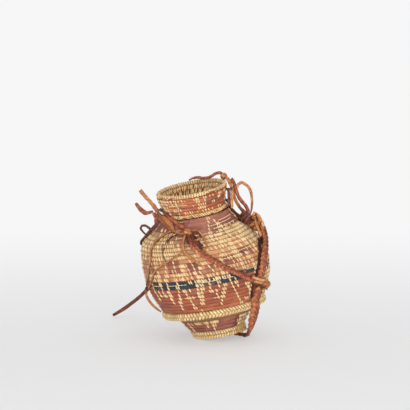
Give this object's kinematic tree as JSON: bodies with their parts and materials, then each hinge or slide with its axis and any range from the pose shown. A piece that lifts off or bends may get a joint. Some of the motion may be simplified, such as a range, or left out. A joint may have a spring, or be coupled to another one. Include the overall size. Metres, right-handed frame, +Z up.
{
  "type": "coiled basket",
  "caption": "Jar-shaped coiled basket with flared collar, thick belly ring and hollow foot, leaning on a braided leather sling with loose thong ends.",
  "frame": {"origin": "on the floor, under the middle of the bounding box of everything but the long loose thong", "axes": "+Z up, -Y towards the side that the picture shows, +X to the right in the picture; the basket leans 10 degrees to -X"},
  "size_m": [0.1964, 0.1999, 0.1988],
  "materials": {
    "rim_straw": "matte, wrapped with pale straw stitches",
    "collar_weave": "matte, orange leaf over coils with straw stitches",
    "coil_straw": "matte, wrapped with straw stitches",
    "belly_weave": "matte, dyed leaf facing with straw stitches",
    "floor_weave": "matte, plain coils",
    "foot_weave": "matte, purple-brown leaf with straw stitches",
    "tan_leather": "matte, worn",
    "red_leather": "matte, worn",
    "dark_leather": "matte, worn"
  },
  "bodies": {
    "basket": {"rim_coil": "rim_straw", "collar_wall": "collar_weave", "neck_seam_coil": "coil_straw", "belly_wall": "belly_weave", "belly_ring": "coil_straw", "belly_floor": "floor_weave", "foot_wall": "foot_weave", "base_coil_upper": "coil_straw", "base_coil_lower": "coil_straw", "wide_strap": "tan_leather", "curled_thong_root": "red_leather", "left_side_thong": "dark_leather", "left_small_loop": "red_leather", "left_neck_thong": "red_leather", "neck_tie": "dark_leather", "front_knot": "tan_leather", "left_hanging_thong": "red_leather", "front_hanging_thong": "tan_leather", "left_lacing": "tan_leather", "lacing_knot": "dark_leather", "lacing_tail": "tan_leather", "front_small_loop": "red_leather", "front_cross_thong": "red_leather", "front_braid": "red_leather", "shoulder_knot_dark": "dark_leather", "shoulder_knot_tan": "tan_leather", "side_strap_upper": "red_leather", "crossing_knot": "tan_leather", "carrying_strap": "red_leather", "back_knot": "tan_leather", "girth_thong_left": "dark_leather", "girth_thong_right": "dark_leather", "rim_knot": "tan_leather", "neck_thong_light": "tan_leather", "neck_thong_dark": "red_leather", "collar_band": "dark_leather", "collar_drop_left": "dark_leather", "collar_drop_right": "tan_leather", "shoulder_wrap": "dark_leather", "long_thong": "dark_leather"},
    "upper_end": {"upper_thong_end": "tan_leather"},
    "curled_end": {"curled_thong_end": "red_leather"},
    "shoulder_loop": {"tall_loop": "tan_leather"},
    "rim_end": {"rim_thong": "dark_leather"}
  },
  "joints": [
    {"name": "upper_end_bend", "type": "hinge", "parent": "basket", "child": "upper_end", "pos_m": [-0.05318, -0.01949, 0.15604], "axis": [0, 1, 0], "range_deg": [-22, 10]},
    {"name": "curled_end_bend", "type": "hinge", "parent": "basket", "child": "curled_end", "pos_m": [-0.05971, -0.00696, 0.15456], "axis": [0, 1, 0], "range_deg": [-15, 15]},
    {"name": "shoulder_loop_swing", "type": "hinge", "parent": "basket", "child": "shoulder_loop", "pos_m": [0.04118, 0.00357, 0.18243], "axis": [0.3961, -0.4486, -0.8012], "range_deg": [-30, 30]},
    {"name": "rim_end_lift", "type": "hinge", "parent": "basket", "child": "rim_end", "pos_m": [0.02403, 0.0139, 0.19595], "axis": [0.517, 0.856, 0], "range_deg": [0, 35]}
  ]
}
